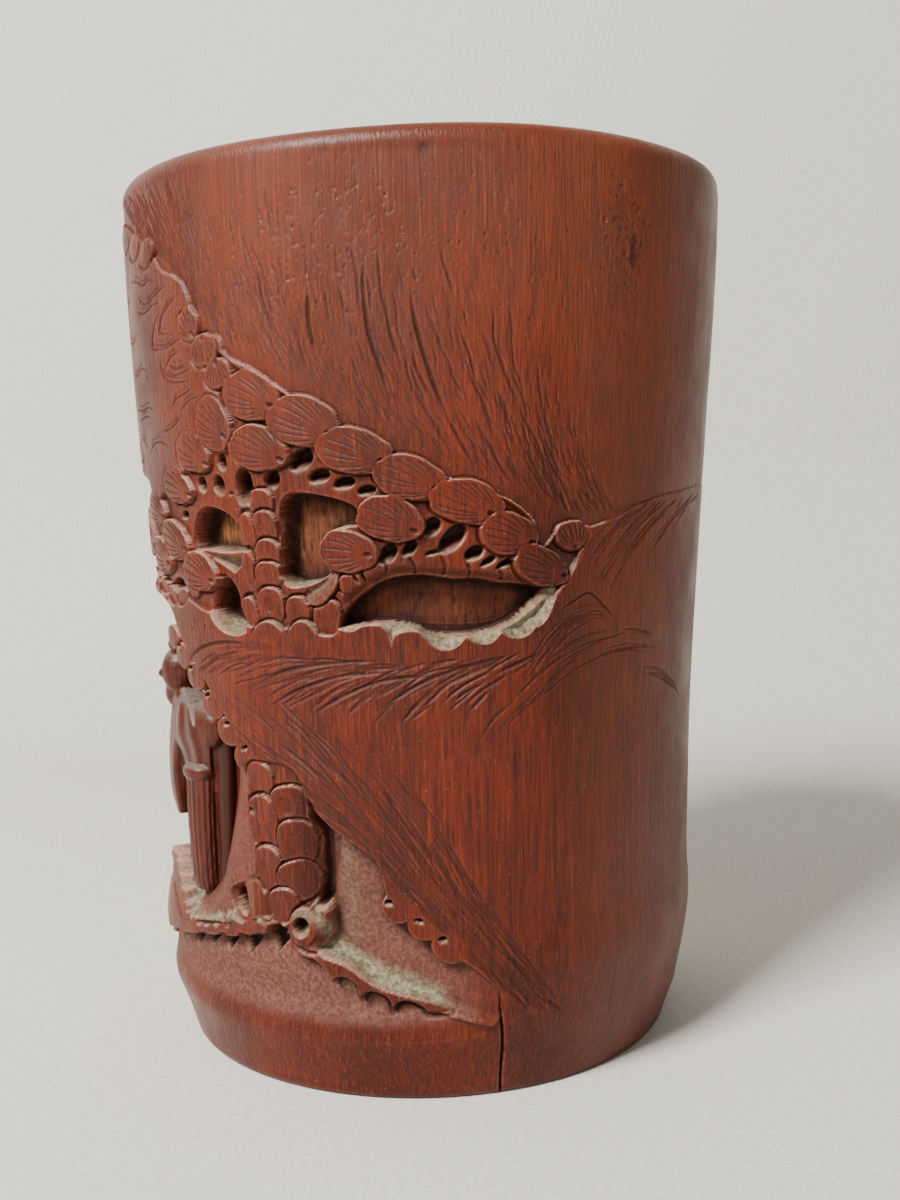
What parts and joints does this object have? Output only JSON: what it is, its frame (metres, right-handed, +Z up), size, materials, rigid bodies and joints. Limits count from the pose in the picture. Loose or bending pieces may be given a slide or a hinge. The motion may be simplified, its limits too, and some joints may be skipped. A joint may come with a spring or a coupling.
{
  "type": "brush pot",
  "caption": "Round bamboo brush pot with a deeply carved pine, rocks and standing figures on its wall, and a floor disc let in above the foot ring.",
  "frame": {"origin": "middle of the foot ring's underside", "axes": "+Z up along the culm, -Y towards the viewer in front of the pine's canopy, +X to that viewer's right"},
  "size_m": [0.1048, 0.1048, 0.15],
  "materials": {
    "waxed_bamboo": "red-brown waxed bamboo with fine upright fibres, polished high spots and dusty hollows",
    "floor_wood": "dark brown plain wood, unpolished"
  },
  "bodies": {
    "root": {"carved_culm": "waxed_bamboo", "floor_disc": "floor_wood"}
  },
  "joints": []
}
